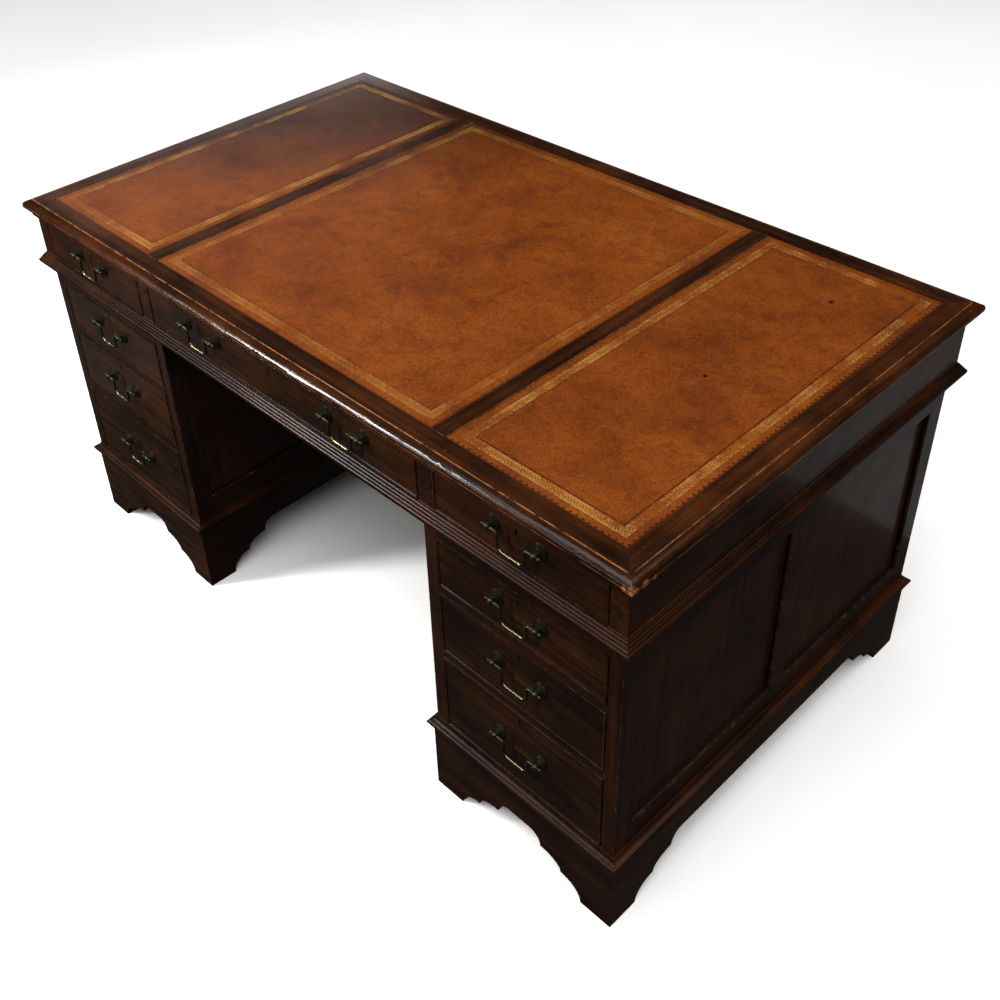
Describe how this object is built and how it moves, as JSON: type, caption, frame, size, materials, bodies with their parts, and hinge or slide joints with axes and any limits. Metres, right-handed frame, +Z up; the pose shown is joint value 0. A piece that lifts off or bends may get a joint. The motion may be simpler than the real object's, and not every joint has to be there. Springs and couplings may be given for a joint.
{
  "type": "pedestal writing desk",
  "caption": "Mahogany pedestal writing desk with an inset leather top, graduated drawers with swan-neck brass bails, panelled sides and cusped bracket plinths.",
  "frame": {"origin": "on the floor under the middle of the top", "axes": "+X along the width to the right as seen from the drawers, -Y out of the drawer fronts, +Z up"},
  "size_m": [1.524, 0.878, 0.776],
  "materials": {
    "mahogany": "polished, worn at the edges",
    "secondary_wood": "planed, unpolished",
    "drawer_lining": "planed, unpolished",
    "leather": "mottled tan hide, gold tooled",
    "brass": "aged, dark in the hollows"
  },
  "bodies": {
    "carcass": {"top_borders": "mahogany", "top_core_board": "secondary_wood", "top_cross_strips": "mahogany", "leather_left": "leather", "leather_centre": "leather", "leather_right": "leather", "frieze_carcass": "mahogany", "frieze_floor": "secondary_wood", "waist_moulding": "mahogany", "left_pedestal_side_frames": "mahogany", "left_pedestal_side_panels": "mahogany", "left_pedestal_back": "mahogany", "left_pedestal_rails_and_runners": "secondary_wood", "left_pedestal_boards": "secondary_wood", "left_pedestal_base_moulding": "mahogany", "left_pedestal_plinth": "mahogany", "right_pedestal_side_frames": "mahogany", "right_pedestal_side_panels": "mahogany", "right_pedestal_back": "mahogany", "right_pedestal_rails_and_runners": "secondary_wood", "right_pedestal_boards": "secondary_wood", "right_pedestal_base_moulding": "mahogany", "right_pedestal_plinth": "mahogany"},
    "frieze_centre_drawer": {"frieze_centre_drawer_front": "mahogany", "frieze_centre_drawer_box": "drawer_lining", "frieze_centre_drawer_fittings": "brass"},
    "frieze_centre_bail_left": {"frieze_centre_bail_left": "brass"},
    "frieze_centre_bail_right": {"frieze_centre_bail_right": "brass"},
    "frieze_left_drawer": {"frieze_left_drawer_front": "mahogany", "frieze_left_drawer_box": "drawer_lining", "frieze_left_drawer_fittings": "brass"},
    "frieze_left_bail": {"frieze_left_bail": "brass"},
    "left_upper_drawer": {"left_upper_drawer_front": "mahogany", "left_upper_drawer_box": "drawer_lining", "left_upper_drawer_fittings": "brass"},
    "left_upper_bail": {"left_upper_bail": "brass"},
    "left_middle_drawer": {"left_middle_drawer_front": "mahogany", "left_middle_drawer_box": "drawer_lining", "left_middle_drawer_fittings": "brass"},
    "left_middle_bail": {"left_middle_bail": "brass"},
    "left_lower_drawer": {"left_lower_drawer_front": "mahogany", "left_lower_drawer_box": "drawer_lining", "left_lower_drawer_fittings": "brass"},
    "left_lower_bail": {"left_lower_bail": "brass"},
    "frieze_right_drawer": {"frieze_right_drawer_front": "mahogany", "frieze_right_drawer_box": "drawer_lining", "frieze_right_drawer_fittings": "brass"},
    "frieze_right_bail": {"frieze_right_bail": "brass"},
    "right_upper_drawer": {"right_upper_drawer_front": "mahogany", "right_upper_drawer_box": "drawer_lining", "right_upper_drawer_fittings": "brass"},
    "right_upper_bail": {"right_upper_bail": "brass"},
    "right_middle_drawer": {"right_middle_drawer_front": "mahogany", "right_middle_drawer_box": "drawer_lining", "right_middle_drawer_fittings": "brass"},
    "right_middle_bail": {"right_middle_bail": "brass"},
    "right_lower_drawer": {"right_lower_drawer_front": "mahogany", "right_lower_drawer_box": "drawer_lining", "right_lower_drawer_fittings": "brass"},
    "right_lower_bail": {"right_lower_bail": "brass"}
  },
  "joints": [
    {"name": "frieze_centre_drawer_slide", "type": "slide", "parent": "carcass", "child": "frieze_centre_drawer", "axis": [0, -1, 0], "range_m": [0, 0.42]},
    {"name": "frieze_centre_bail_left_swing", "type": "hinge", "parent": "frieze_centre_drawer", "child": "frieze_centre_bail_left", "pos_m": [-0.191, -0.433, 0.712], "axis": [-1, 0, 0], "range_deg": [-12, 95]},
    {"name": "frieze_centre_bail_right_swing", "type": "hinge", "parent": "frieze_centre_drawer", "child": "frieze_centre_bail_right", "pos_m": [0.191, -0.433, 0.712], "axis": [-1, 0, 0], "range_deg": [-12, 95]},
    {"name": "frieze_left_drawer_slide", "type": "slide", "parent": "carcass", "child": "frieze_left_drawer", "axis": [0, -1, 0], "range_m": [0, 0.42]},
    {"name": "frieze_left_bail_swing", "type": "hinge", "parent": "frieze_left_drawer", "child": "frieze_left_bail", "pos_m": [-0.5505, -0.433, 0.712], "axis": [-1, 0, 0], "range_deg": [-12, 95]},
    {"name": "left_upper_drawer_slide", "type": "slide", "parent": "carcass", "child": "left_upper_drawer", "axis": [0, -1, 0], "range_m": [0, 0.42]},
    {"name": "left_upper_bail_swing", "type": "hinge", "parent": "left_upper_drawer", "child": "left_upper_bail", "pos_m": [-0.5465, -0.427, 0.562], "axis": [-1, 0, 0], "range_deg": [-12, 95]},
    {"name": "left_middle_drawer_slide", "type": "slide", "parent": "carcass", "child": "left_middle_drawer", "axis": [0, -1, 0], "range_m": [0, 0.42]},
    {"name": "left_middle_bail_swing", "type": "hinge", "parent": "left_middle_drawer", "child": "left_middle_bail", "pos_m": [-0.5465, -0.427, 0.4315], "axis": [-1, 0, 0], "range_deg": [-12, 95]},
    {"name": "left_lower_drawer_slide", "type": "slide", "parent": "carcass", "child": "left_lower_drawer", "axis": [0, -1, 0], "range_m": [0, 0.42]},
    {"name": "left_lower_bail_swing", "type": "hinge", "parent": "left_lower_drawer", "child": "left_lower_bail", "pos_m": [-0.5465, -0.427, 0.265], "axis": [-1, 0, 0], "range_deg": [-12, 95]},
    {"name": "frieze_right_drawer_slide", "type": "slide", "parent": "carcass", "child": "frieze_right_drawer", "axis": [0, -1, 0], "range_m": [0, 0.42]},
    {"name": "frieze_right_bail_swing", "type": "hinge", "parent": "frieze_right_drawer", "child": "frieze_right_bail", "pos_m": [0.5505, -0.433, 0.712], "axis": [-1, 0, 0], "range_deg": [-12, 95]},
    {"name": "right_upper_drawer_slide", "type": "slide", "parent": "carcass", "child": "right_upper_drawer", "axis": [0, -1, 0], "range_m": [0, 0.42]},
    {"name": "right_upper_bail_swing", "type": "hinge", "parent": "right_upper_drawer", "child": "right_upper_bail", "pos_m": [0.5465, -0.427, 0.562], "axis": [-1, 0, 0], "range_deg": [-12, 95]},
    {"name": "right_middle_drawer_slide", "type": "slide", "parent": "carcass", "child": "right_middle_drawer", "axis": [0, -1, 0], "range_m": [0, 0.42]},
    {"name": "right_middle_bail_swing", "type": "hinge", "parent": "right_middle_drawer", "child": "right_middle_bail", "pos_m": [0.5465, -0.427, 0.4315], "axis": [-1, 0, 0], "range_deg": [-12, 95]},
    {"name": "right_lower_drawer_slide", "type": "slide", "parent": "carcass", "child": "right_lower_drawer", "axis": [0, -1, 0], "range_m": [0, 0.42]},
    {"name": "right_lower_bail_swing", "type": "hinge", "parent": "right_lower_drawer", "child": "right_lower_bail", "pos_m": [0.5465, -0.427, 0.265], "axis": [-1, 0, 0], "range_deg": [-12, 95]}
  ]
}
